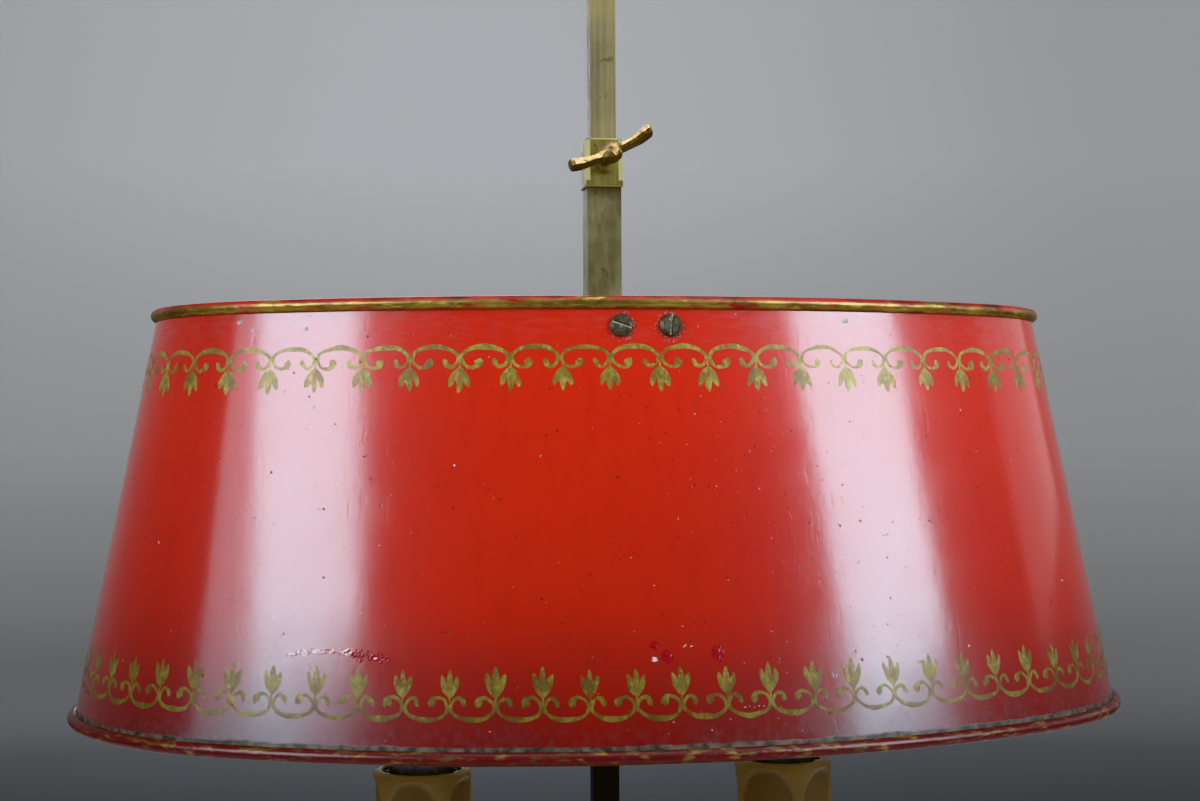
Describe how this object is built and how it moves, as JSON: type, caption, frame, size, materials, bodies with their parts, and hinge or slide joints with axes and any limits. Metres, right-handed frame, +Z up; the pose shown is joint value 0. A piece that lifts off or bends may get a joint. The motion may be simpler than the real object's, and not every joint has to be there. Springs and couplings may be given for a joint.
{
  "type": "bouillotte table lamp",
  "caption": "Table lamp with an oval painted tin shade on a square brass rod, a winged clamp key, candle-sleeve lights on scroll arms, and a round dish base.",
  "frame": {"origin": "on the table, under the centre of the round base", "axes": "+Z up along the stem; the oval shade is long along X; the clamp key and the switch knob face -Y"},
  "size_m": [0.3642, 0.2382, 0.6164],
  "materials": {
    "red_lacquer": "old red lacquer on tin plate, glossy with fine wear",
    "aged_brass": "dull brass with a brown-green patina",
    "cast_key_brass": "warm cast brass, filed and handled bright",
    "base_brass": "turned and spun brass, lacquered, softly aged",
    "edge_wire": "iron wire",
    "dark_screw": "blackened steel, worn at the slot",
    "bright_steel": "plated steel",
    "holder_brass": "thin pressed brass, satin",
    "cap_metal": "bare pressed metal",
    "bulb_glass": "satin white glass",
    "candle_resin": "honey-ivory resin, like beeswax",
    "cast_weight": "rough casting",
    "felt": "green wool felt",
    "black_moulding": "black moulded resin",
    "knob_moulding": "polished dark brown moulding",
    "white_moulding": "white insulating moulding",
    "wire_cover": "sleeved twin lead"
  },
  "bodies": {
    "stand": {"felt_pad": "felt", "base_weight": "cast_weight", "base_foot": "base_brass", "base_dish": "base_brass", "cord_bushing": "black_moulding", "tie_tube": "bright_steel", "tie_washer": "bright_steel", "tie_nuts": "bright_steel", "column_foot": "base_brass", "column_base_ring": "base_brass", "column_shaft": "base_brass", "column_capital": "base_brass", "hub_body": "base_brass", "hub_cap": "base_brass", "stem_rod": "aged_brass", "stem_nut": "bright_steel", "finial": "base_brass", "switch_body": "black_moulding", "switch_nut": "base_brass", "splice_caps": "white_moulding", "left_arm": "base_brass", "right_arm": "base_brass", "left_arm_lead": "wire_cover", "right_arm_lead": "wire_cover", "left_riser": "bright_steel", "right_riser": "bright_steel", "left_cup": "base_brass", "right_cup": "base_brass", "left_drip_pan": "base_brass", "right_drip_pan": "base_brass", "left_holder_cap": "holder_brass", "right_holder_cap": "holder_brass", "left_insulator": "white_moulding", "right_insulator": "white_moulding", "left_plungers": "holder_brass", "right_plungers": "holder_brass", "left_barrel": "holder_brass", "right_barrel": "holder_brass", "left_sleeve": "candle_resin", "right_sleeve": "candle_resin", "left_bulb_cap": "cap_metal", "right_bulb_cap": "cap_metal", "left_bulb_glass": "bulb_glass", "right_bulb_glass": "bulb_glass"},
    "shade_carriage": {"shade": "red_lacquer", "top_edge_wire": "edge_wire", "bottom_edge_wire": "edge_wire", "crossbar": "aged_brass", "tube_ferrule": "aged_brass", "slide_tube": "aged_brass", "clamp_collar": "aged_brass", "shade_screws": "dark_screw", "shade_nuts": "dark_screw"},
    "key": {"clamp_key": "cast_key_brass"},
    "knob": {"switch_knob": "knob_moulding"}
  },
  "joints": [
    {"name": "shade_slide", "type": "slide", "parent": "stand", "child": "shade_carriage", "axis": [0, 0, 1], "range_m": [-0.225, 0.057]},
    {"name": "clamp_key_turn", "type": "hinge", "parent": "shade_carriage", "child": "key", "pos_m": [0, -0.0138, 0.5007], "axis": [0, -1, 0], "range_deg": [0, 360]},
    {"name": "switch_turn", "type": "hinge", "parent": "stand", "child": "knob", "pos_m": [0, -0.03, 0.1725], "axis": [0, -1, 0], "continuous": true}
  ]
}
